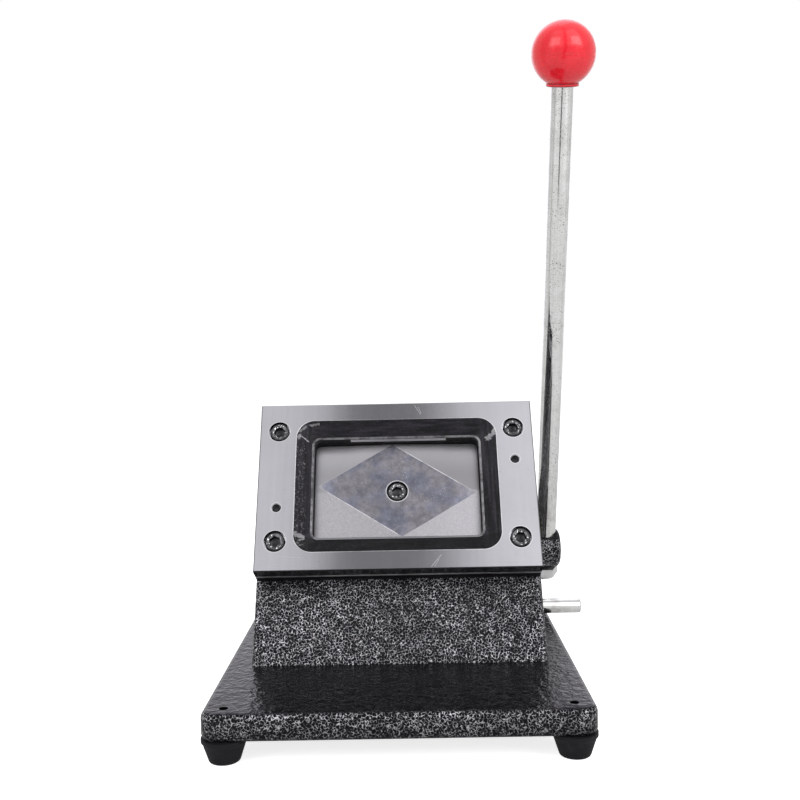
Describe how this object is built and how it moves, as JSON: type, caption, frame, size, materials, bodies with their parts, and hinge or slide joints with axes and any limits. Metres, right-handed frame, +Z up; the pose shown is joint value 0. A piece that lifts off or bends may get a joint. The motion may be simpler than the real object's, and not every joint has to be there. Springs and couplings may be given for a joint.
{
  "type": "card die cutter",
  "caption": "Desk card die cutter: a side lever turns a cam that drives a rectangular punch through a leaning die set on a cast body with rubber feet.",
  "frame": {"origin": "centre of the plane in which the four rubber feet rest, under the middle of the base plate", "axes": "+Z up, -Y towards the user and the leaning die face, +X towards the lever"},
  "size_m": [0.1958, 0.2552, 0.3461],
  "materials": {
    "black_hammertone": "black hammered enamel with fine silver veins",
    "hub_paint": "black hammered enamel",
    "foot_rubber": "matt moulded rubber",
    "zinc_screws": "zinc plated",
    "ground_die_steel": "ground and lightly stained",
    "guide_steel": "ground",
    "shim_steel": "bright rolled strip",
    "punch_steel": "ground, with darker used middle",
    "black_oxide": "blackened",
    "dowel_steel": "ground",
    "bronze": "sintered bronze",
    "machined_steel": "machined",
    "roller_steel": "hardened and polished",
    "spring_steel": "oiled wire",
    "bright_plating": "bright plating, lightly pitted",
    "washer_black": "blackened",
    "red_knob": "glossy moulded plastic"
  },
  "bodies": {
    "root": {"base_plate": "black_hammertone", "foot_front_left": "foot_rubber", "foot_front_right": "foot_rubber", "foot_rear_left": "foot_rubber", "foot_rear_right": "foot_rubber", "foot_screws": "zinc_screws", "body_casting": "black_hammertone", "casting_bolts": "black_oxide", "backing_shim": "shim_steel", "guide_plate": "guide_steel", "slot_spacers": "shim_steel", "die_plate": "ground_die_steel", "die_screws": "black_oxide", "dowel_pins": "dowel_steel", "shaft_bush_left": "bronze", "shaft_bush_right": "bronze", "guide_bush": "bronze", "stop_pin": "bright_plating", "return_spring": "spring_steel"},
    "ram": {"punch": "punch_steel", "punch_screw": "black_oxide", "ram_dowels": "dowel_steel", "ram": "machined_steel", "ram_screws": "black_oxide", "ram_fork": "machined_steel", "fork_screw": "black_oxide", "roller_pin": "dowel_steel", "cam_roller": "roller_steel"},
    "lever": {"cam_shaft": "machined_steel", "spiral_cam": "machined_steel", "cam_pin": "black_oxide", "shaft_collar": "machined_steel", "collar_screw": "black_oxide", "lever_hub": "hub_paint", "hub_pin": "dowel_steel", "lever_rod": "bright_plating", "rod_washer": "washer_black", "rod_nut": "bright_plating", "ball_knob": "red_knob"}
  },
  "joints": [
    {"name": "lever_hinge", "type": "hinge", "parent": "root", "child": "lever", "pos_m": [0, 0.09075, 0.04744], "axis": [1, 0, 0], "range_deg": [0, 76]},
    {"name": "ram_slide", "type": "slide", "parent": "root", "child": "ram", "axis": [0, -0.866, 0.5], "range_m": [0, 0.01], "stiffness_N_per_m": 5000, "springref_m": -0.01, "deforming": ["return_spring"]}
  ],
  "couplings": [
    {"joint": "ram_slide", "follows": "lever_hinge", "m_per_rad": 0.0075389}
  ]
}
